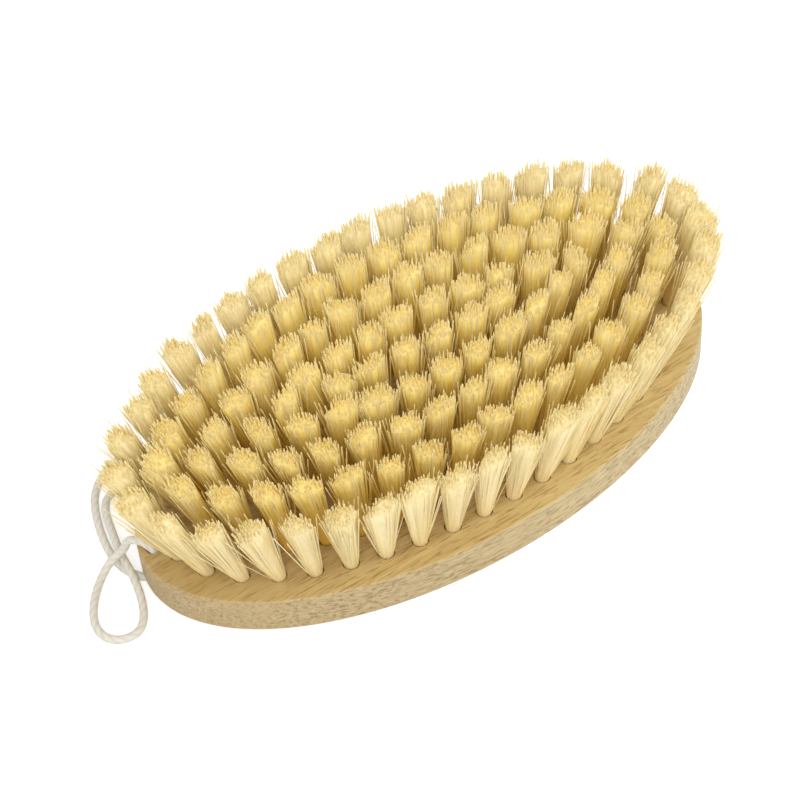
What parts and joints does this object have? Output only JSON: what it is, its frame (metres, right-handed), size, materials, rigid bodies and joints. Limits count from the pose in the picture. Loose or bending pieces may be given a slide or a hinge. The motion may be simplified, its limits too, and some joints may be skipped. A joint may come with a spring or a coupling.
{
  "type": "scrub brush",
  "caption": "Oval palm scrub brush: a flat bamboo block with rows of stiff plant-fibre tufts trimmed level, and a cotton hanging cord through one tip.",
  "frame": {"origin": "middle of the block's flat back, with the brush lying on its back and the tufts pointing up", "axes": "+X along the block's length, away from the cord's end; +Y across the block; +Z from the block to the tuft tips"},
  "size_m": [0.1809, 0.0882, 0.0373],
  "materials": {
    "bamboo": "oiled satin",
    "plant_fibre": "matte",
    "cotton": "matte"
  },
  "bodies": {
    "root": {"handle_block": "bamboo", "outer_row_tufts_1": "plant_fibre", "outer_row_tufts_2": "plant_fibre", "outer_row_tufts_3": "plant_fibre", "outer_row_tufts_4": "plant_fibre", "outer_row_tufts_5": "plant_fibre", "outer_row_tufts_6": "plant_fibre", "outer_row_tufts_7": "plant_fibre", "outer_row_tufts_8": "plant_fibre", "second_row_tufts_1": "plant_fibre", "second_row_tufts_2": "plant_fibre", "second_row_tufts_3": "plant_fibre", "second_row_tufts_4": "plant_fibre", "second_row_tufts_5": "plant_fibre", "second_row_tufts_6": "plant_fibre", "third_row_tufts_1": "plant_fibre", "third_row_tufts_2": "plant_fibre", "third_row_tufts_3": "plant_fibre", "third_row_tufts_4": "plant_fibre", "third_row_tufts_5": "plant_fibre", "third_row_tufts_6": "plant_fibre", "inner_row_tufts_1": "plant_fibre", "inner_row_tufts_2": "plant_fibre", "inner_row_tufts_3": "plant_fibre", "inner_row_tufts_4": "plant_fibre", "centre_tufts": "plant_fibre", "hanging_cord": "cotton"}
  },
  "joints": []
}
